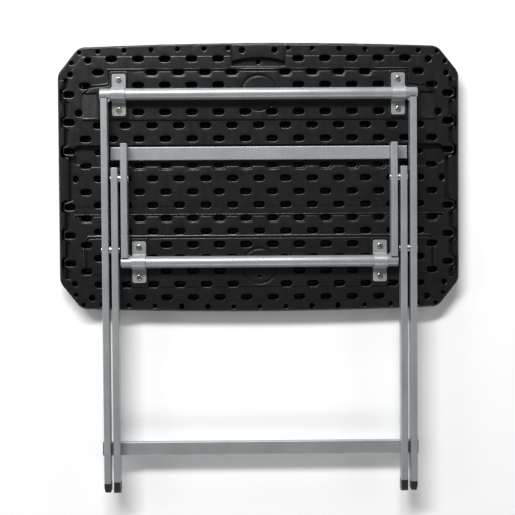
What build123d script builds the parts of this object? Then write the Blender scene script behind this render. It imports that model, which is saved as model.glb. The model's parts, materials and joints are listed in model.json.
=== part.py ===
from build123d import *
import os

os.makedirs("parts", exist_ok=True)

# Folding table, folded flat and lying on its work surface. The origin is the middle of the
# work surface, which faces -Z. The feet point to -Y and the legs lie on the +Z side.

# moulded top
top_length = 762.0
top_width = 511.0
outline_y = 1.5
crown = 7.0
side_flat = 197.5
end_flat = 340.5
corner_round = 25.0
edge_round = 6.0
rim_round = 4.0
rim_z = 34.5
field_z = 36.0
plateau_z = 39.0
seat_z = 41.0
side_groove_z = 26.0
line_inset = 3.0
line_width = 3.0
line_depth = 2.5
band_depth = 1.5
channel_z = 25.5
channel_half = 338.0
recess_z = 27.0
handle_width = 100.0
handle_gap = 1.6
skin = 2.6
cavity_inset = 7.0
rim_cavity_z = 23.0

# dimples that tie the underside to the work surface, on a staggered grid
pitch_x = 50.6
pitch_y = 25.15
grid_y = 0.5
middle_row = 9
dimple_length = 22.6
dimple_width = 13.0
dimple_taper = 6.0
dimple_floor = 6.0
dimple_wall = 2.0
round_taper = 0.72
step_foot = 14.5
step_head = 10.5
edge_dimple_x = 359.5
edge_dimple_y = (-160.0, -107.0, -53.0, 53.0, 107.0, 160.0)

# hinge axes, all at one height above the work surface
tube_radius = 11.0
tube_wall = 1.5
clamp_clearance = 0.3
axis_z = seat_z + clamp_clearance + tube_radius
outer_axis_y = 158.3
brace_axis_y = -158.0
outer_to_cross = 292.8
cross_to_brace = 134.2
cross_y = outer_axis_y - outer_to_cross
brace_pin_y = cross_y + cross_to_brace

# rectangular leg tube
leg_width = 12.7
leg_depth = 25.4
inner_leg_depth = 25.0
leg_wall = 1.2
leg_round = 2.0
outer_leg_x = 290.15
inner_leg_x = 272.1
brace_arm_x = 254.1
outer_reach = 751.0
inner_reach = 460.3
inner_tail = 20.6
tail_relief = 5.0
brace_length = 223.6
outer_cap = 17.0
inner_cap = 21.6
cap_stub = 18.0
cope_depth = 8.7

# bars that join each pair
outer_tube_half = 298.5
brace_tube_half = 261.5
crossbar_half = 281.0
crossbar_from_axis = 205.7
stretcher_half = 299.0
stretcher_from_axis = 673.0
stretcher_cap = 2.5

# clamps and screws
clamp_width = 26.0
clamp_length = 79.0
clamp_sheet = 2.0
outer_clamp_x = 264.0
brace_clamp_x = 228.6
screw_offset = 28.4
screw_radius = 2.4
screw_head = 5.5
screw_head_height = 3.0
screw_reach = 14.0

# rivets
rivet_radius = 4.0
rivet_head = 6.5
rivet_head_height = 1.5
running_gap = 0.05
washer_gap = 0.3
washer_radius = 8.0


def save(shape, node):
    shape.label = node
    export_step(shape, f"parts/{node}.step")


def outline(inset):
    """Chamfered rectangle with crowned long edges."""
    side = top_length / 2
    peak = top_width / 2
    end_y = peak - crown
    edges = [
        Line((side, -side_flat), (side, side_flat)),
        Line((side, side_flat), (end_flat, end_y)),
        ThreePointArc((end_flat, end_y), (0, peak), (-end_flat, end_y)),
        Line((-end_flat, end_y), (-side, side_flat)),
        Line((-side, side_flat), (-side, -side_flat)),
        Line((-side, -side_flat), (-end_flat, -end_y)),
        ThreePointArc((-end_flat, -end_y), (0, -peak), (end_flat, -end_y)),
        Line((end_flat, -end_y), (side, -side_flat)),
    ]
    face = make_face(edges)
    face = Pos(0, outline_y) * fillet(face.vertices(), corner_round)
    if inset:
        face = offset(face, -inset)
    return face


def slab(face, low, high):
    return extrude(Pos(0, 0, low) * face, high - low)


def dimple_row_steps(row):
    """Half pitches out from the middle at which a row has a dimple."""
    short_rows = {
        0: (3, 5, 7, 9, 11),
        1: (2, 4, 6, 8, 12),
        2: (3, 5, 7, 9, 13),
        3: (),
        4: (1, 3, 5, 7, 9),
        14: (1, 3, 5, 7, 11, 13),
        15: (2, 4, 6, 8, 12),
        16: (3, 5, 7, 13),
        17: (2, 4, 6, 8, 10, 12),
        18: (1, 3, 5, 7, 9, 11),
    }
    full_row = range(row % 2 == 0, 14, 2)
    return short_rows.get(row, full_row)


def dimple_row(row):
    """Every dimple of a row from left to right."""
    right = [step * pitch_x / 2 for step in dimple_row_steps(row)]
    return sorted({side * x for x in right for side in (-1, 1)})


def row_y(row):
    return grid_y + pitch_y * (middle_row - row)


def dimple_places():
    places = [(x, row_y(row)) for row in range(2 * middle_row + 1) for x in dimple_row(row)]
    return places + [(side * edge_dimple_x, y) for y in edge_dimple_y for side in (-1, 1)]


def crown_y(x, depth):
    """Distance from the outline's middle to a line inside the crown of a long edge."""
    return top_width / 2 - depth - crown * (x / end_flat) ** 2


def round_places():
    """Round pockets as x, y and radius, given for the right half and the middle."""
    front = [(x, outline_y + crown_y(x, 10.5), 4.6) for x in (57, 102.5, 153, 203, 254, 304)]
    rear = [(x, outline_y - crown_y(x, 9.5), 4.6) for x in (0, 50, 100, 150, 200, 250, 301)]
    corners = [
        (356.5, 198, 5.7), (354, 220, 4.4), (339.5, 239.5, 4.4), (322.5, 224.5, 6.8), (341, 125, 7.6),
        (352, -199, 5.7), (350, -220, 4.2), (336, -239, 4.2), (319, -226, 6.8), (348.6, 0, 7.0),
    ]
    middle = [(30.7, 242.4, 5.9), (0, 221.5, 5.3), (0, -186, 3.0)]
    right = front + rear + corners + middle
    return right + [(-x, y, r) for x, y, r in right if x]


def dimple(wall, floor):
    """Tapered pocket from the underside down to the pinch on the work surface."""
    mouth = SlotOverall(dimple_length + 2 * wall, dimple_width + 2 * wall)
    return extrude(Pos(0, 0, plateau_z) * mouth, plateau_z - floor, dir=(0, 0, -1), taper=dimple_taper)


def round_pocket(x, y, radius, wall):
    depth = plateau_z - 2 * dimple_floor + wall
    cone = Cone(round_taper * radius + wall, radius + wall, depth)
    return Pos(x, y, plateau_z - depth / 2) * cone


def screw_places():
    pairs = ((outer_clamp_x, outer_axis_y), (brace_clamp_x, brace_axis_y))
    return [(s * x, y + t * screw_offset) for x, y in pairs for s in (-1, 1) for t in (1, -1)]


def polygon(*points):
    return make_face(Polyline(*points, close=True))


def right_and_left(points):
    """Close a right-hand border, listed from rear to front, with its mirror image."""
    return polygon(*points, *((-x, y) for x, y in reversed(points)))


def side_border(plain, jog, middle):
    """Right-hand border that steps out round each edge dimple and in along the middle."""
    points = []
    for y in edge_dimple_y:
        before = plain if abs(y - 13) > 53 else middle
        after = plain if abs(y + 13) > 53 else middle
        points += [(before, y - 13), (jog, y - 7), (jog, y + 7), (after, y + 13)]
    return points


def stepped_line(base, jog, row, half):
    """Points from left to right along a line that steps aside at each dimple of a row."""
    points = [(-half, base)]
    for x in dimple_row(row):
        if abs(x) < half - 16:
            points += [(x - step_foot, base), (x - step_head, jog)]
            points += [(x + step_head, jog), (x + step_foot, base)]
    return points + [(half, base)]


def field_face():
    """Middle of the underside, inside the lower rim band and the side grooves."""
    border = side_border(361, 371.5, 353)
    return right_and_left([(335, -232), (361, -195.5), *border, (361, 195.5), (335, 232)])


def side_grooves():
    outer = right_and_left([(369, -190), *side_border(369, 376.5, 361), (369, 190)])
    return slab(outer - field_face(), side_groove_z, field_z + 1)


def finger_recess():
    """Crescent under the middle of the front edge, where fingers lift the table."""
    low = 212.5
    high = 222
    half = handle_width / 2
    arc = ThreePointArc((half, high), (0, 229), (-half, high))
    face = make_face([arc, Polyline((-half, high), (-half, low), (half, low), (half, high))])
    return slab(face, recess_z, field_z)


def brace_channel(margin):
    """Channel that takes the brace crossbar, its rear edge stepped round a row of dimples."""
    face = Pos(0, 45.3) * RectangleRounded(702 + 2 * margin, 35.4 + 2 * margin, 8)
    half = channel_half + margin
    rear = polygon(*stepped_line(23 - margin, 17 - margin, 8, half), (half, 40), (-half, 40))
    return slab(face + rear, channel_z - margin, field_z)


def outline_line(face, inset):
    """Narrow groove that runs inside a face's border."""
    return offset(face, -inset) - offset(face, -inset - line_width)


def dimple_line(top, base, jog, row, half):
    """Groove along X with a straight front edge and a rear edge stepped round a row of dimples."""
    return polygon(*stepped_line(base, jog, row, half), (half, top), (-half, top))


def outer_plateau():
    """Raised pad under the outer hinge tube."""
    left = ((-335, 111), (-335, 165), (-317, 178), (-287, 181), (-287, 208.5))
    right = tuple((-x, y) for x, y in reversed(left))
    return polygon(*left, *right)


def brace_plateau():
    """Raised pad under the brace hinge tube, with rounded front corners."""
    left = ((-284, -205), (-284, -181), (-335, -181), (-335, -118), (-326, -107.3))
    right = tuple((-x, y) for x, y in reversed(left))
    return polygon(*left, *right)


def foot_ramp():
    """Pocket with a sloping floor beside the end of the outer hinge tube."""
    face = polygon((162, plateau_z), (162, field_z - 1), (116, plateau_z - 0.6), (116, plateau_z))
    return Pos(307, 0, 0) * extrude(Plane.YZ * face, 28)


def ring_groove(y):
    return Pos(0, y, plateau_z) * (Cylinder(35.5, 2 * line_depth) - Cylinder(31, 2 * line_depth))


def underside_relief(body):
    """Raise and cut the steps, channels and grooves of the underside."""
    body = body + slab(field_face(), rim_z - 1, field_z)
    handle = Pos(0, 235) * Rectangle(handle_width, 48) & outline(rim_round)
    body = body + slab(handle, rim_z - 1, field_z)
    ridge = slab(Pos(371) * Rectangle(13, 374), rim_z - 1, field_z)
    body = body + [ridge, mirror(ridge, Plane.YZ)]
    body = body + [slab(face, rim_z, plateau_z) for face in (outer_plateau(), brace_plateau())]
    for x, y in ((outer_clamp_x, outer_axis_y), (brace_clamp_x, brace_axis_y)):
        seat = slab(RectangleRounded(34, 90, 4), rim_z, seat_z)
        body = body + [Pos(x, y) * seat, Pos(-x, y) * seat]
    body = body - [brace_channel(0), finger_recess(), side_grooves()]
    body = body - slab(Pos(0, -59.8) * Rectangle(700, 14.4), field_z - band_depth, field_z)
    body = body - slab(dimple_line(-69, -71.6, -83.3, 12, 348), field_z - line_depth, field_z)
    front_half = slab(Pos(0, 200) * Rectangle(800, 76), plateau_z - line_depth, plateau_z)
    front_line = outline_line(outer_plateau(), line_inset) + dimple_line(205, 202.5, 193.3, 1, 255)
    body = body - (slab(front_line, plateau_z - line_depth, plateau_z) & front_half)
    pad_half = slab(Pos(0, -130) * Rectangle(800, 90), plateau_z - line_depth, plateau_z)
    pad_line = outline_line(brace_plateau(), line_inset)
    body = body - (slab(pad_line, plateau_z - line_depth, plateau_z) & pad_half)
    gap = Pos((handle_width + handle_gap) / 2, 230) * Rectangle(handle_gap, 35)
    handle_line = slab(gap, rim_z - band_depth, field_z)
    body = body - [handle_line, mirror(handle_line, Plane.YZ)]
    body = body - [foot_ramp(), mirror(foot_ramp(), Plane.YZ)]
    return body - [ring_groove(162), ring_groove(-166)]


def table_cavity():
    """Sealed hollow between the work surface and the underside, broken by the dimples."""
    cavity = slab(outline(cavity_inset), skin, rim_cavity_z)
    cavity = cavity + slab(Rectangle(696, 420), rim_cavity_z - 1, field_z - line_depth - skin)
    cavity = cavity - brace_channel(skin)
    post = dimple(dimple_wall, skin)
    boss = slab(Circle(screw_radius + 4), 0, seat_z)
    cavity = cavity - [Pos(x, y) * post for x, y in dimple_places()]
    cavity = cavity - [round_pocket(x, y, r, dimple_wall) for x, y, r in round_places()]
    return cavity - [Pos(x, y) * boss for x, y in screw_places()]


def table_top():
    body = slab(outline(0), 0, rim_z)
    body = fillet(body.faces().sort_by(Axis.Z)[0].outer_wire().edges(), edge_round)
    body = fillet(body.faces().sort_by(Axis.Z)[-1].outer_wire().edges(), rim_round)
    body = underside_relief(body) - table_cavity()
    pocket = dimple(0, dimple_floor)
    pilot = slab(Circle(screw_radius), seat_z - screw_reach, seat_z + 1)
    body = body - [Pos(x, y) * pocket for x, y in dimple_places()]
    body = body - [round_pocket(x, y, r, 0) for x, y, r in round_places()]
    return body - [Pos(x, y) * pilot for x, y in screw_places()]


def clamp():
    """Strap over a hinge tube with a flat foot on each side."""
    hole = tube_radius + clamp_clearance
    strap = hole + clamp_sheet
    profile = Pos(0, hole) * Circle(strap) + Pos(0, hole / 2) * Rectangle(2 * strap, hole)
    profile = profile + Pos(0, clamp_sheet / 2) * Rectangle(clamp_length, clamp_sheet)
    profile = profile - Pos(0, hole) * Circle(hole) - Pos(0, hole / 2) * Rectangle(2 * hole, hole)
    profile = profile - Pos(0, -hole / 2) * Rectangle(clamp_length, hole)
    body = extrude(Plane.YZ * profile, clamp_width / 2, both=True)
    ends = body.edges().filter_by(Axis.Z).filter_by(lambda e: abs(e.center().Y) > clamp_length / 2 - 1)
    body = fillet(ends, 4)
    bends = body.edges().filter_by(Axis.X).filter_by(lambda e: abs(abs(e.center().Y) - strap) < 0.1)
    body = fillet(bends.filter_by(lambda e: abs(e.center().Z - clamp_sheet) < 0.1), 1.5)
    return body - [Pos(0, s * screw_offset) * Cylinder(screw_radius, 10) for s in (-1, 1)]


def screw():
    """Pan head screw with a cross recess, its head seated at height zero."""
    head = extrude(Circle(screw_head), screw_head_height)
    head = fillet(head.faces().sort_by(Axis.Z)[-1].edges(), 2.0)
    slot = Box(6.4, 1.3, 3.2) + Box(1.3, 6.4, 3.2)
    shank = extrude(Circle(screw_radius), -screw_reach - clamp_sheet + 1)
    shank = chamfer(shank.faces().sort_by(Axis.Z)[0].edges(), 1.6)
    return head + shank - Pos(0, 0, screw_head_height) * slot


def leg_section(depth):
    return RectangleRounded(leg_width, depth, leg_round)


def leg_tube(depth, y_from, y_to):
    """Rectangular tube along Y between two heights, centred on the hinge axis plane."""
    inner = RectangleRounded(leg_width - 2 * leg_wall, depth - 2 * leg_wall, leg_round - leg_wall)
    face = Plane((0, y_to, axis_z), x_dir=(1, 0, 0), z_dir=(0, 1, 0)) * (leg_section(depth) - inner)
    return extrude(face, y_from - y_to)


def foot_cap(depth, y_top, length, toe_round):
    """Plastic plug that carries on the tube's outline down to a rounded toe."""
    side = Pos(-length / 2, 0) * Rectangle(length, depth)
    side = fillet(side.vertices().sort_by(Axis.X)[:2], toe_round)
    body = extrude(Plane.XZ * leg_section(depth), length) & extrude(Plane.YZ * side, leg_width, both=True)
    stub = RectangleRounded(leg_width - 2 * leg_wall, depth - 2 * leg_wall, leg_round - leg_wall)
    return Pos(0, y_top, axis_z) * (body + extrude(Plane.XZ * stub, -cap_stub))


def toe_bevel(y_toe):
    """Wedge cut from the outer side of an outer foot."""
    edge = leg_width / 2
    face = polygon((edge, y_toe + 9), (edge - 2.4, y_toe), (edge + 3, y_toe))
    return slab(face, axis_z - leg_depth, axis_z + leg_depth)


def hinge_tube(half):
    tube = Cylinder(tube_radius, 2 * half, rotation=(0, 90, 0))
    tube = chamfer(tube.edges().filter_by(GeomType.CIRCLE), 0.8)
    return tube - Cylinder(tube_radius - tube_wall, 2 * half, rotation=(0, 90, 0))


def cross_tube(half):
    """Flat rectangular tube along X, its upper face at height zero."""
    outer = RectangleRounded(leg_depth, leg_width, leg_round)
    inner = RectangleRounded(leg_depth - 2 * leg_wall, leg_width - 2 * leg_wall, leg_round - leg_wall)
    face = Plane.YZ.offset(-half) * Pos(0, -leg_width / 2) * (outer - inner)
    return extrude(face, 2 * half)


def weld(side, way):
    """Fillet weld in the corner between a leg's inner face and the hinge tube."""
    size = 5.0
    foot = tube_radius - 3
    face = polygon((0, foot), (-size - 2, foot), (-size, tube_radius), (0, tube_radius + size))
    body = extrude(face, 5, both=True) - Cylinder(tube_radius, 60, rotation=(0, 90, 0))
    if side < 0:
        body = mirror(body, Plane.YZ)
    if way < 0:
        body = mirror(body, Plane.XZ)
    return body


def disc(radius, x_from, x_to):
    """Round plate or pin along X through the origin's YZ position."""
    return extrude(Plane.YZ.offset(x_from) * Circle(radius), x_to - x_from)


def cross_rivet():
    """Rivet through the outer leg that the inner leg turns on, for the +X side."""
    outer_face = outer_leg_x + leg_width / 2
    inner_face = inner_leg_x - leg_width / 2 - washer_gap / 2
    body = disc(rivet_radius, inner_face - 0.5, outer_face)
    body = body + disc(rivet_head, outer_face, outer_face + rivet_head_height)
    return body + disc(rivet_head, inner_face - rivet_head_height, inner_face)


def cross_spacer():
    body = disc(washer_radius, inner_leg_x + leg_width / 2 + washer_gap, outer_leg_x - leg_width / 2)
    return body - disc(rivet_radius, 0, outer_leg_x)


def brace_rivet_outer():
    """Half of the brace pivot carried by the inner leg, for the +X side."""
    outer_face = inner_leg_x + leg_width / 2
    inner_face = inner_leg_x - leg_width / 2
    body = disc(rivet_radius, inner_face - 2.3, outer_face)
    body = body + disc(rivet_head, outer_face, outer_face + rivet_head_height)
    return body + disc(washer_radius, inner_face - 2.3, inner_face)


def brace_rivet_inner():
    """Half of the brace pivot carried by the brace arm, for the +X side."""
    outer_face = brace_arm_x + leg_width / 2
    inner_face = brace_arm_x - leg_width / 2
    body = disc(rivet_radius, inner_face, outer_face + 2.3)
    body = body + disc(rivet_head, inner_face - rivet_head_height, inner_face)
    return body + disc(washer_radius, outer_face, outer_face + 2.3)


def both_sides(shape, node):
    """Save a +X piece as the right one and its mirror image as the left one."""
    save(shape, f"{node}_right")
    save(mirror(shape, Plane.YZ), f"{node}_left")


def pin_hole(y, radius):
    return Pos(0, y, axis_z) * disc(radius, -leg_width, leg_width)


def make_table():
    save(table_top(), "table_top")
    strap = clamp()
    pan_screw = screw()
    for name, x, y in (("outer", outer_clamp_x, outer_axis_y), ("brace", brace_clamp_x, brace_axis_y)):
        both_sides(Pos(x, y, seat_z) * strap, f"{name}_clamp")
        for place, offset_y in (("front", screw_offset), ("rear", -screw_offset)):
            seated = Pos(x, y + offset_y, seat_z + clamp_sheet) * pan_screw
            both_sides(seated, f"{name}_clamp_screw_{place}")


def make_outer_legs():
    tube = Pos(0, outer_axis_y, axis_z) * hinge_tube(outer_tube_half)
    save(tube, "outer_hinge_tube")
    cap_top = outer_axis_y - outer_reach + outer_cap
    leg = leg_tube(leg_depth, outer_axis_y - cope_depth, cap_top)
    leg = leg - Pos(0, outer_axis_y, axis_z) * Cylinder(tube_radius, 60, rotation=(0, 90, 0))
    leg = leg - pin_hole(cross_y, rivet_radius)
    both_sides(Pos(outer_leg_x) * leg, "outer_leg")
    foot = foot_cap(leg_depth, cap_top, outer_cap, 2.0) - toe_bevel(cap_top - outer_cap)
    toe = foot.edges().filter_by(Axis.Z).sort_by(Axis.Y)[:2]
    both_sides(Pos(outer_leg_x) * fillet(toe, 1.5), "outer_foot")
    stretcher_y = outer_axis_y - stretcher_from_axis
    bar_z = axis_z - leg_depth / 2
    save(Pos(0, stretcher_y, bar_z) * cross_tube(stretcher_half), "outer_stretcher")
    cap = Plane.YZ * Pos(0, -leg_width / 2) * RectangleRounded(leg_depth, leg_width, leg_round)
    bore = Rectangle(leg_depth - 2 * leg_wall - 1, leg_width - 2 * leg_wall - 1)
    plug = Plane.YZ * Pos(0, -leg_width / 2) * bore
    end_cap = extrude(cap, stretcher_cap) + extrude(plug, -8)
    both_sides(Pos(stretcher_half, stretcher_y, bar_z) * end_cap, "stretcher_cap")
    bead = mirror(weld(1, 1), Plane.XZ)
    both_sides(Pos(outer_leg_x - leg_width / 2, outer_axis_y, axis_z) * bead, "outer_weld")
    both_sides(Pos(0, cross_y, axis_z) * cross_rivet(), "cross_rivet")
    both_sides(Pos(0, cross_y, axis_z) * cross_spacer(), "cross_spacer")


def make_inner_legs():
    cap_top = cross_y - inner_reach + inner_cap
    leg = leg_tube(inner_leg_depth, brace_pin_y + inner_tail, cap_top)
    leg = leg - pin_hole(cross_y, rivet_radius + running_gap) - pin_hole(brace_pin_y, rivet_radius)
    tail = (brace_pin_y + inner_tail, axis_z - inner_leg_depth / 2)
    corner = polygon(tail, (tail[0] - tail_relief, tail[1]), (tail[0], tail[1] + tail_relief))
    leg = leg - extrude(Plane.YZ * corner, leg_width, both=True)
    both_sides(Pos(inner_leg_x) * leg, "inner_leg")
    both_sides(Pos(inner_leg_x) * foot_cap(inner_leg_depth, cap_top, inner_cap, 8.0), "inner_foot")
    both_sides(Pos(0, brace_pin_y, axis_z) * brace_rivet_outer(), "brace_rivet_outer")


def make_brace():
    tube = Pos(0, brace_axis_y, axis_z) * hinge_tube(brace_tube_half)
    save(tube, "brace_hinge_tube")
    arm = leg_tube(leg_depth, brace_axis_y + brace_length, brace_axis_y + cope_depth)
    arm = arm - Pos(0, brace_axis_y, axis_z) * Cylinder(tube_radius, 60, rotation=(0, 90, 0))
    arm = arm - pin_hole(brace_pin_y, rivet_radius)
    both_sides(Pos(brace_arm_x) * arm, "brace_arm")
    bar_y = brace_axis_y + crossbar_from_axis
    save(Pos(0, bar_y, axis_z - leg_depth / 2) * cross_tube(crossbar_half), "brace_crossbar")
    both_sides(Pos(brace_arm_x - leg_width / 2, brace_axis_y, axis_z) * weld(1, 1), "brace_weld")
    both_sides(Pos(0, brace_pin_y, axis_z) * brace_rivet_inner(), "brace_rivet_inner")


make_table()
make_outer_legs()
make_inner_legs()
make_brace()
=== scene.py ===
import json
import bmesh
import bpy
from math import cos, pi, radians, sin
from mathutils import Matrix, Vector


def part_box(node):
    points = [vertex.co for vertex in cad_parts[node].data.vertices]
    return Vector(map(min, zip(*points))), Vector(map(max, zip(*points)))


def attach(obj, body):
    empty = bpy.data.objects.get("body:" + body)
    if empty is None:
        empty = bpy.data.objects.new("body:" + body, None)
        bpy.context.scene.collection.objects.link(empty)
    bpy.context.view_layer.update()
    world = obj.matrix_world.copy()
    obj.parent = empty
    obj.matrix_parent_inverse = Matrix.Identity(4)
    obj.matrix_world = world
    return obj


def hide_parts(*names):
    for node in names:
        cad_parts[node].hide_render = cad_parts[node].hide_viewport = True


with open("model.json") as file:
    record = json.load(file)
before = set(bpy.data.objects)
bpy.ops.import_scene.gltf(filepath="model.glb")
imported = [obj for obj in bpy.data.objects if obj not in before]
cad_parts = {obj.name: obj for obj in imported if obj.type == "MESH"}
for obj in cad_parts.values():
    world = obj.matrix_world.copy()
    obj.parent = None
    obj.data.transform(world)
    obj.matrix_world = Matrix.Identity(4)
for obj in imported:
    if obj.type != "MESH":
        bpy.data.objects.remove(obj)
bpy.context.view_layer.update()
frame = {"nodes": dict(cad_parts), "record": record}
mm = 0.001
nodes = frame["nodes"]
bodies = frame["record"]["behaviour"]["bodies"]
sides = ("left", "right")
print("frame loaded:", len(nodes), "parts")


def hexColour(code):   # sRGB hex to linear, by the standard curve
    parts = [int(code[i:i + 2], 16) / 255 for i in (1, 3, 5)]
    linear = [c / 12.92 if c <= 0.04045 else ((c + 0.055) / 1.055) ** 2.4 for c in parts]
    return (*linear, 1.0)


def addNode(tree, kind, settings=None, links=None):   # settings and sockets by name or number
    node = tree.nodes.new(kind)
    for key, value in (settings or {}).items():
        if isinstance(key, str) and hasattr(node, key):
            setattr(node, key, value)
        else:
            node.inputs[key].default_value = value
    for key, (source, output) in (links or {}).items():
        tree.links.new(source.outputs[output], node.inputs[key])
    return node


# the colour sockets of the mix node, which has several sockets of each name
mixFactor, mixA, mixB, mixResult = 0, 6, 7, 2
fineness = 0.6   # share of its strength that each finer layer of a noise keeps
noiseSpan = {"From Min": 0.3, "From Max": 0.7}   # where nearly all of a noise lies


def newMaterial(name):
    material = bpy.data.materials.new(name)
    material.use_nodes = True
    material.node_tree.nodes.clear()
    return material, material.node_tree


def perSize(sizeMm):   # noise scale that gives lumps about sizeMm across
    return 1 / (sizeMm * mm)


def finishShader(tree, settings, *sources):   # sources: the colour mix, the roughness range, the bump
    sockets = (("Base Color", mixResult), ("Roughness", "Result"), ("Normal", "Normal"))
    links = {socket: (source, output) for source, (socket, output) in zip(sources, sockets)}
    shader = addNode(tree, "ShaderNodeBsdfPrincipled", settings, links)
    addNode(tree, "ShaderNodeOutputMaterial", None, {"Surface": (shader, "BSDF")})


def mouldedPolyethylene():
    # blow-moulded HDPE: black, waxy satin, fine spark-eroded grain, faint flow clouds
    look = {"dark": "#101111", "light": "#181919", "cloudMm": 55,
            "scuffMm": 9, "scuffStretch": (1.0, 0.35, 1.0), "smooth": 0.27, "rough": 0.35,
            "grainMm": 1.1, "grainStrength": 0.35, "grainDepthMm": 0.12}
    material, tree = newMaterial("blackPolyethylene")
    coords = addNode(tree, "ShaderNodeTexCoord")
    clouds = addNode(tree, "ShaderNodeTexNoise",
                     {"Scale": perSize(look["cloudMm"]), "Detail": 4, "Roughness": fineness},
                     {"Vector": (coords, "Object")})
    cloudShare = addNode(tree, "ShaderNodeMapRange", noiseSpan, {"Value": (clouds, "Fac")})
    colour = addNode(tree, "ShaderNodeMix",
                     {"data_type": "RGBA", mixA: hexColour(look["dark"]), mixB: hexColour(look["light"])},
                     {mixFactor: (cloudShare, "Result")})
    drawn = addNode(tree, "ShaderNodeMapping", {"Scale": look["scuffStretch"]},
                    {"Vector": (coords, "Object")})
    scuffs = addNode(tree, "ShaderNodeTexNoise",
                     {"Scale": perSize(look["scuffMm"]), "Detail": 5, "Roughness": fineness},
                     {"Vector": (drawn, "Vector")})
    sheen = addNode(tree, "ShaderNodeMapRange",
                    {**noiseSpan, "To Min": look["smooth"], "To Max": look["rough"]},
                    {"Value": (scuffs, "Fac")})
    grain = addNode(tree, "ShaderNodeTexNoise",
                    {"Scale": perSize(look["grainMm"]), "Detail": 2, "Roughness": fineness},
                    {"Vector": (coords, "Object")})
    bump = addNode(tree, "ShaderNodeBump",
                   {"Strength": look["grainStrength"], "Distance": look["grainDepthMm"] * mm},
                   {"Height": (grain, "Fac")})
    finishShader(tree, {"IOR": 1.5, "Specular IOR Level": 0.5}, colour, sheen, bump)
    return material


def powderCoat():
    # silver-grey powder coat on steel: tiny metallic flecks, orange peel, soft highlights
    look = {"dark": "#95999c", "light": "#adb1b3",
            "fleckMm": 0.9, "driftMm": 70, "sumFrom": 0.7, "sumTo": 1.3,
            "peelMm": 2.2, "smooth": 0.34, "rough": 0.44, "peelStrength": 0.18, "peelDepthMm": 0.08}
    material, tree = newMaterial("silverPowderCoat")
    coords = addNode(tree, "ShaderNodeTexCoord")
    flecks = addNode(tree, "ShaderNodeTexNoise",
                     {"Scale": perSize(look["fleckMm"]), "Detail": 1, "Roughness": fineness},
                     {"Vector": (coords, "Object")})
    drift = addNode(tree, "ShaderNodeTexNoise",
                    {"Scale": perSize(look["driftMm"]), "Detail": 3, "Roughness": fineness},
                    {"Vector": (coords, "Object")})
    both = addNode(tree, "ShaderNodeMath", {"operation": "ADD"}, {0: (flecks, "Fac"), 1: (drift, "Fac")})
    share = addNode(tree, "ShaderNodeMapRange", {"From Min": look["sumFrom"], "From Max": look["sumTo"]},
                    {"Value": (both, "Value")})
    colour = addNode(tree, "ShaderNodeMix",
                     {"data_type": "RGBA", mixA: hexColour(look["dark"]), mixB: hexColour(look["light"])},
                     {mixFactor: (share, "Result")})
    peel = addNode(tree, "ShaderNodeTexNoise",
                   {"Scale": perSize(look["peelMm"]), "Detail": 2, "Roughness": fineness},
                   {"Vector": (coords, "Object")})
    sheen = addNode(tree, "ShaderNodeMapRange",
                    {**noiseSpan, "To Min": look["smooth"], "To Max": look["rough"]},
                    {"Value": (peel, "Fac")})
    bump = addNode(tree, "ShaderNodeBump",
                   {"Strength": look["peelStrength"], "Distance": look["peelDepthMm"] * mm},
                   {"Height": (peel, "Fac")})
    finishShader(tree, {"Metallic": 0.45, "Coat Weight": 0.2, "Coat Roughness": 0.25}, colour, sheen, bump)
    return material


def paintedPressedSteel():
    # painted strip with faint press marks, less metallic than the powder coat on the tubes
    look = {"dark": "#94989a", "light": "#a8acae", "driftMm": 18,
            "drawMm": 1.2, "drawStretch": (1.0, 0.2, 1.0), "smooth": 0.3, "rough": 0.42,
            "markStrength": 0.12, "markDepthMm": 0.06}
    material, tree = newMaterial("paintedPressedSteel")
    coords = addNode(tree, "ShaderNodeTexCoord")
    drift = addNode(tree, "ShaderNodeTexNoise",
                    {"Scale": perSize(look["driftMm"]), "Detail": 4, "Roughness": fineness},
                    {"Vector": (coords, "Object")})
    share = addNode(tree, "ShaderNodeMapRange", noiseSpan, {"Value": (drift, "Fac")})
    colour = addNode(tree, "ShaderNodeMix",
                     {"data_type": "RGBA", mixA: hexColour(look["dark"]), mixB: hexColour(look["light"])},
                     {mixFactor: (share, "Result")})
    drawn = addNode(tree, "ShaderNodeMapping", {"Scale": look["drawStretch"]},
                    {"Vector": (coords, "Object")})
    marks = addNode(tree, "ShaderNodeTexNoise",
                    {"Scale": perSize(look["drawMm"]), "Detail": 3, "Roughness": fineness},
                    {"Vector": (drawn, "Vector")})
    sheen = addNode(tree, "ShaderNodeMapRange",
                    {**noiseSpan, "To Min": look["smooth"], "To Max": look["rough"]},
                    {"Value": (marks, "Fac")})
    bump = addNode(tree, "ShaderNodeBump",
                   {"Strength": look["markStrength"], "Distance": look["markDepthMm"] * mm},
                   {"Height": (marks, "Fac")})
    finishShader(tree, {"Metallic": 0.35}, colour, sheen, bump)
    return material


def passivatedZinc():
    # bright zinc screws with patches of yellow passivation
    look = {"dark": "#a98d55", "light": "#d4d5d2", "patchMm": 2.5, "patchFrom": 0.38, "patchTo": 0.56,
            "patchRough": 0.34, "bareSmooth": 0.22}
    material, tree = newMaterial("yellowPassivatedZinc")
    coords = addNode(tree, "ShaderNodeTexCoord")
    patches = addNode(tree, "ShaderNodeTexNoise",
                      {"Scale": perSize(look["patchMm"]), "Detail": 3, "Roughness": fineness},
                      {"Vector": (coords, "Object")})
    share = addNode(tree, "ShaderNodeMapRange", {"From Min": look["patchFrom"], "From Max": look["patchTo"]},
                    {"Value": (patches, "Fac")})
    colour = addNode(tree, "ShaderNodeMix",
                     {"data_type": "RGBA", mixA: hexColour(look["dark"]), mixB: hexColour(look["light"])},
                     {mixFactor: (share, "Result")})
    sheen = addNode(tree, "ShaderNodeMapRange",
                    {**noiseSpan, "To Min": look["patchRough"], "To Max": look["bareSmooth"]},
                    {"Value": (patches, "Fac")})
    finishShader(tree, {"Metallic": 1.0}, colour, sheen)
    return material


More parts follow.
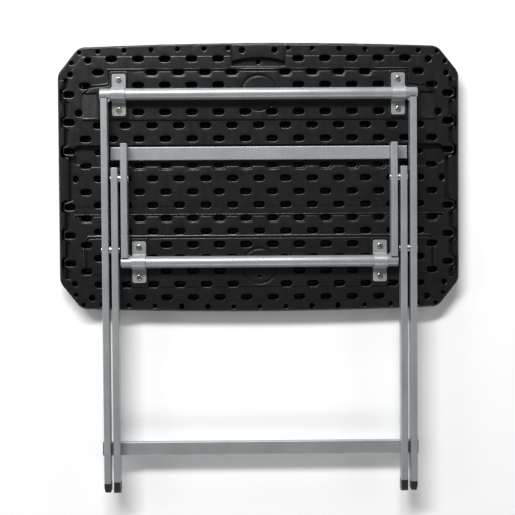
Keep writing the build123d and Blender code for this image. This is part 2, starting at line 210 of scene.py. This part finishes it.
def dullZinc():
    # plain zinc of rivets and spacers, hazed by handling
    look = {"dark": "#9da1a3", "light": "#c2c5c6", "hazeMm": 1.5, "smooth": 0.3, "rough": 0.45}
    material, tree = newMaterial("plainZinc")
    coords = addNode(tree, "ShaderNodeTexCoord")
    haze = addNode(tree, "ShaderNodeTexNoise",
                   {"Scale": perSize(look["hazeMm"]), "Detail": 3, "Roughness": fineness},
                   {"Vector": (coords, "Object")})
    share = addNode(tree, "ShaderNodeMapRange", noiseSpan, {"Value": (haze, "Fac")})
    colour = addNode(tree, "ShaderNodeMix",
                     {"data_type": "RGBA", mixA: hexColour(look["dark"]), mixB: hexColour(look["light"])},
                     {mixFactor: (share, "Result")})
    sheen = addNode(tree, "ShaderNodeMapRange",
                    {**noiseSpan, "To Min": look["smooth"], "To Max": look["rough"]},
                    {"Value": (haze, "Fac")})
    finishShader(tree, {"Metallic": 1.0}, colour, sheen)
    return material


def mouldedPolypropylene():
    # injection-moulded black feet and plugs, satin with rubbed patches
    look = {"dark": "#161717", "light": "#262828", "rubMm": 6, "freshRough": 0.52, "rubbedSmooth": 0.38,
            "grainMm": 0.8, "grainStrength": 0.25, "grainDepthMm": 0.08}
    material, tree = newMaterial("blackPolypropylene")
    coords = addNode(tree, "ShaderNodeTexCoord")
    rubs = addNode(tree, "ShaderNodeTexNoise",
                   {"Scale": perSize(look["rubMm"]), "Detail": 4, "Roughness": fineness},
                   {"Vector": (coords, "Object")})
    share = addNode(tree, "ShaderNodeMapRange", noiseSpan, {"Value": (rubs, "Fac")})
    colour = addNode(tree, "ShaderNodeMix",
                     {"data_type": "RGBA", mixA: hexColour(look["dark"]), mixB: hexColour(look["light"])},
                     {mixFactor: (share, "Result")})
    sheen = addNode(tree, "ShaderNodeMapRange",
                    {**noiseSpan, "To Min": look["freshRough"], "To Max": look["rubbedSmooth"]},
                    {"Value": (rubs, "Fac")})
    grain = addNode(tree, "ShaderNodeTexNoise",
                    {"Scale": perSize(look["grainMm"]), "Detail": 2, "Roughness": fineness},
                    {"Vector": (coords, "Object")})
    bump = addNode(tree, "ShaderNodeBump",
                   {"Strength": look["grainStrength"], "Distance": look["grainDepthMm"] * mm},
                   {"Height": (grain, "Fac")})
    finishShader(tree, {"IOR": 1.49}, colour, sheen, bump)
    return material


plastic = mouldedPolyethylene()
paint = powderCoat()
strapPaint = paintedPressedSteel()
yellowZinc = passivatedZinc()
zinc = dullZinc()
capPlastic = mouldedPolypropylene()
print("materials made")

creaseAngle = 38   # degrees, from which an edge shows as a crease


def bodyOf(node):
    return next(name for name, members in bodies.items() if node in members)


def middle(node):
    low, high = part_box(node)
    return (Vector(low) + Vector(high)) / 2


def roundShading(bm):
    for face in bm.faces:
        face.smooth = True
    for edge in bm.edges:
        edge.smooth = len(edge.link_faces) != 2 or edge.calc_face_angle(0) < radians(creaseAngle)


def makePiece(bm, name, material, node):   # rides the body of the node that it stands for
    roundShading(bm)
    mesh = bpy.data.meshes.new(name)
    bm.to_mesh(mesh)
    bm.free()
    mesh.materials.append(material)
    piece = bpy.data.objects.new(name, mesh)
    bpy.context.scene.collection.objects.link(piece)
    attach(piece, bodyOf(node))
    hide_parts(node)
    return piece


# cells of the dimple grid, lips and heights in mm, angles in degrees
topLook = {"weldMm": 0.005, "cutMm": 0.0001, "flatAngle": 1.0,
           "cellX": 25.3, "cellY": 25.15, "rowY": 0.5, "cellsX": 14, "cellsY": 10,
           "lipRadius": 1.3, "lipSegments": 2, "lipAngle": 36, "lipsAbove": 15, "flatWeight": 60}


def dropCavity(bm):
    # the sealed cavity is a shell of its own, so what the highest point can't reach goes
    start = max(bm.verts, key=lambda v: v.co.z)
    seen = {start}
    queue = [start]
    while queue:
        for edge in queue.pop().link_edges:
            for other in edge.verts:
                if other not in seen:
                    seen.add(other)
                    queue.append(other)
    bmesh.ops.delete(bm, geom=[v for v in bm.verts if v not in seen], context="VERTS")


def cutCells(bm):
    # seams through and between the dimples, so that no flat face is left with a hole in it
    look = topLook
    columns = range(-look["cellsX"], look["cellsX"] + 1)
    rows = range(-look["cellsY"], look["cellsY"])
    planes = [((k * look["cellX"] * mm, 0, 0), (1, 0, 0)) for k in columns]
    planes += [((0, (look["rowY"] + (k + 0.5) * look["cellY"]) * mm, 0), (0, 1, 0)) for k in rows]
    for place, normal in planes:
        cut = bmesh.ops.bisect_plane(bm, geom=bm.verts[:] + bm.edges[:] + bm.faces[:],
                                     dist=look["cutMm"] * mm, plane_co=place, plane_no=normal)
        for item in cut["geom_cut"]:
            if isinstance(item, bmesh.types.BMEdge):
                item.seam = True
    bmesh.ops.dissolve_limit(bm, angle_limit=radians(look["flatAngle"]), verts=bm.verts, edges=bm.edges,
                             delimit={"SEAM"})


def roundLips(bm):
    # softens the upper outward edges: the rim, the pads and the mouths of the dimples
    look = topLook
    lips = []
    for edge in bm.edges:
        if len(edge.link_faces) == 2 and edge.is_convex and edge.verts[0].co.z > look["lipsAbove"] * mm:
            if edge.calc_face_angle(0) > radians(look["lipAngle"]):
                lips.append(edge)
    bmesh.ops.bevel(bm, geom=lips, offset=look["lipRadius"] * mm, offset_type="OFFSET", affect="EDGES",
                    segments=look["lipSegments"], profile=0.5, material=-1, clamp_overlap=False)
    bmesh.ops.triangulate(bm, faces=[f for f in bm.faces if len(f.verts) > 4])


def mouldedTop():
    bm = bmesh.new()
    bm.from_mesh(nodes["table_top"].data)
    bmesh.ops.remove_doubles(bm, verts=bm.verts, dist=topLook["weldMm"] * mm)
    dropCavity(bm)
    cutCells(bm)
    print("top: faces before lips", len(bm.faces))
    roundLips(bm)
    print("top: faces after lips", len(bm.faces))
    piece = makePiece(bm, "mouldedTop", plastic, "table_top")
    even = piece.modifiers.new("evenShading", "WEIGHTED_NORMAL")
    even.keep_sharp = True
    even.weight = topLook["flatWeight"]


mouldedTop()

nodeLook = {"weldMm": 0.005, "segments": 2, "edgeAngle": 40}
edgeMm = {"tube": 0.6, "moulding": 0.5, "fastener": 0.5, "weld": 0.4, "strap": 0.3, "screw": 0.2}


def finishNode(node, material, bevelMm=0.0):
    cadObject = nodes[node]
    cadObject.data.materials.clear()
    cadObject.data.materials.append(material)
    for face in cadObject.data.polygons:
        face.use_smooth = True
    cadObject.modifiers.new("weld", "WELD").merge_threshold = nodeLook["weldMm"] * mm
    if bevelMm:
        bevel = cadObject.modifiers.new("softEdges", "BEVEL")
        bevel.width = bevelMm * mm
        bevel.segments = nodeLook["segments"]
        bevel.limit_method = "ANGLE"
        bevel.angle_limit = radians(nodeLook["edgeAngle"])
    cadObject.modifiers.new("sharpEdges", "EDGE_SPLIT").split_angle = radians(creaseAngle)
    cadObject.modifiers.new("evenShading", "WEIGHTED_NORMAL").keep_sharp = True


for side in sides:
    for node in ("outer_leg", "inner_leg", "brace_arm"):
        finishNode(f"{node}_{side}", paint, edgeMm["tube"])
    for node in ("outer_foot", "inner_foot", "stretcher_cap"):
        finishNode(f"{node}_{side}", capPlastic, edgeMm["moulding"])
    for node in ("cross_rivet", "cross_spacer", "brace_rivet_outer", "brace_rivet_inner"):
        finishNode(f"{node}_{side}", zinc, edgeMm["fastener"])
    for node in ("outer_weld", "brace_weld"):
        finishNode(f"{node}_{side}", paint, edgeMm["weld"])
    for tube in ("outer", "brace"):
        finishNode(f"{tube}_clamp_{side}", strapPaint, edgeMm["strap"])
        for place in ("front", "rear"):
            finishNode(f"{tube}_clamp_screw_{place}_{side}", yellowZinc, edgeMm["screw"])
for node in ("outer_stretcher", "brace_crossbar"):
    finishNode(node, paint)
print("parts finished")

tubeLook = {"wallMm": 1.5, "endRoundMm": 0.9, "steps": 72, "weldMm": 0.002}
roundAngles = (0, pi / 6, pi / 3, pi / 2)


def hingeTube(node):   # a spun wall whose outer ends are rounded
    low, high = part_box(node)
    centre = middle(node)
    half = (high[0] - low[0]) / 2
    radius = (high[2] - low[2]) / 2
    inner = radius - tubeLook["wallMm"] * mm
    corner = tubeLook["endRoundMm"] * mm
    rounded = [(half - corner + corner * sin(a), radius - corner + corner * cos(a)) for a in roundAngles]
    mirrored = [(-x, r) for x, r in reversed(rounded)]
    outline = rounded + [(half, inner), (-half, inner)] + mirrored
    bm = bmesh.new()
    verts = [bm.verts.new(centre + Vector((x, 0, r))) for x, r in outline]
    edges = [bm.edges.new((verts[i], verts[i - 1])) for i in range(len(verts))]
    bmesh.ops.spin(bm, geom=verts + edges, axis=(1, 0, 0), cent=centre, angle=2 * pi,
                   steps=tubeLook["steps"], use_merge=True)
    bmesh.ops.remove_doubles(bm, verts=bm.verts, dist=tubeLook["weldMm"] * mm)
    bmesh.ops.recalc_face_normals(bm, faces=bm.faces)
    firstWord, *otherWords = node.split("_")
    makePiece(bm, firstWord + "".join(word.capitalize() for word in otherWords), paint, node)


for node in ("outer_hinge_tube", "brace_hinge_tube"):
    hingeTube(node)
print("tubes made")

floorLook = {"size": 20, "dropMm": 0.2, "colour": "#fbfbfb", "roughness": 0.9}   # size in metres


def whiteFloorPaint():   # matt studio white, so that nothing of the room shows in it
    material, tree = newMaterial("whiteFloor")
    finishShader(tree, {"Base Color": hexColour(floorLook["colour"]), "Roughness": floorLook["roughness"]})
    return material


def makeFloor():
    bm = bmesh.new()
    bmesh.ops.create_grid(bm, x_segments=1, y_segments=1, size=floorLook["size"])
    bmesh.ops.translate(bm, verts=bm.verts, vec=(0, 0, -floorLook["dropMm"] * mm))
    mesh = bpy.data.meshes.new("studioFloor")
    bm.to_mesh(mesh)
    bm.free()
    mesh.materials.append(whiteFloorPaint())
    floor = bpy.data.objects.new("studioFloor", mesh)
    bpy.context.scene.collection.objects.link(floor)


softboxes = {   # metres and watts
    "keyLight": {"place": (-0.9, 2.4, 2.9), "size": (2.8, 0.45), "power": 180},
    "backLight": {"place": (-0.4, 2.7, 1.1), "size": (3.0, 0.5), "power": 14},
    "fillLight": {"place": (0.3, -2.9, 1.9), "size": (3.0, 1.0), "power": 25},
    "leftLight": {"place": (-2.9, 0.3, 1.7), "size": (2.4, 0.8), "power": 16},
    "rightLight": {"place": (2.9, 0.3, 1.7), "size": (2.4, 0.8), "power": 12},
}
lightTarget = Vector((0, -0.15, 0))   # about the middle of the folded table


def addSoftbox(name, look):
    light = bpy.data.lights.new(name, "AREA")
    light.shape = "RECTANGLE"
    light.size, light.size_y = look["size"]
    light.energy = look["power"]
    box = bpy.data.objects.new(name, light)
    box.location = look["place"]
    box.rotation_euler = (lightTarget - Vector(look["place"])).to_track_quat("-Z", "Y").to_euler()
    bpy.context.scene.collection.objects.link(box)


makeFloor()
for name, look in softboxes.items():
    addSoftbox(name, look)

worldStrength = 0.09
world = bpy.data.worlds.new("studio")
world.use_nodes = True
background = world.node_tree.nodes["Background"]
background.inputs["Color"].default_value = (1, 1, 1, 1)
background.inputs["Strength"].default_value = worldStrength
bpy.context.scene.world = world

# looks down on the table: lens and sensor in mm, place in metres, turn in degrees
cameraLook = {"lens": 75.7, "sensor": 36,
              "place": (-0.0235, -0.091, 2.0986), "turn": (-1.659, -0.553, -0.391)}
cameraData = bpy.data.cameras.new("camera")
cameraData.lens = cameraLook["lens"]
cameraData.sensor_width = cameraLook["sensor"]
camera = bpy.data.objects.new("camera", cameraData)
camera.location = cameraLook["place"]
camera.rotation_euler = [radians(turn) for turn in cameraLook["turn"]]
bpy.context.scene.collection.objects.link(camera)
bpy.context.scene.camera = camera
bpy.context.scene.view_settings.view_transform = "Standard"
print("stage set")
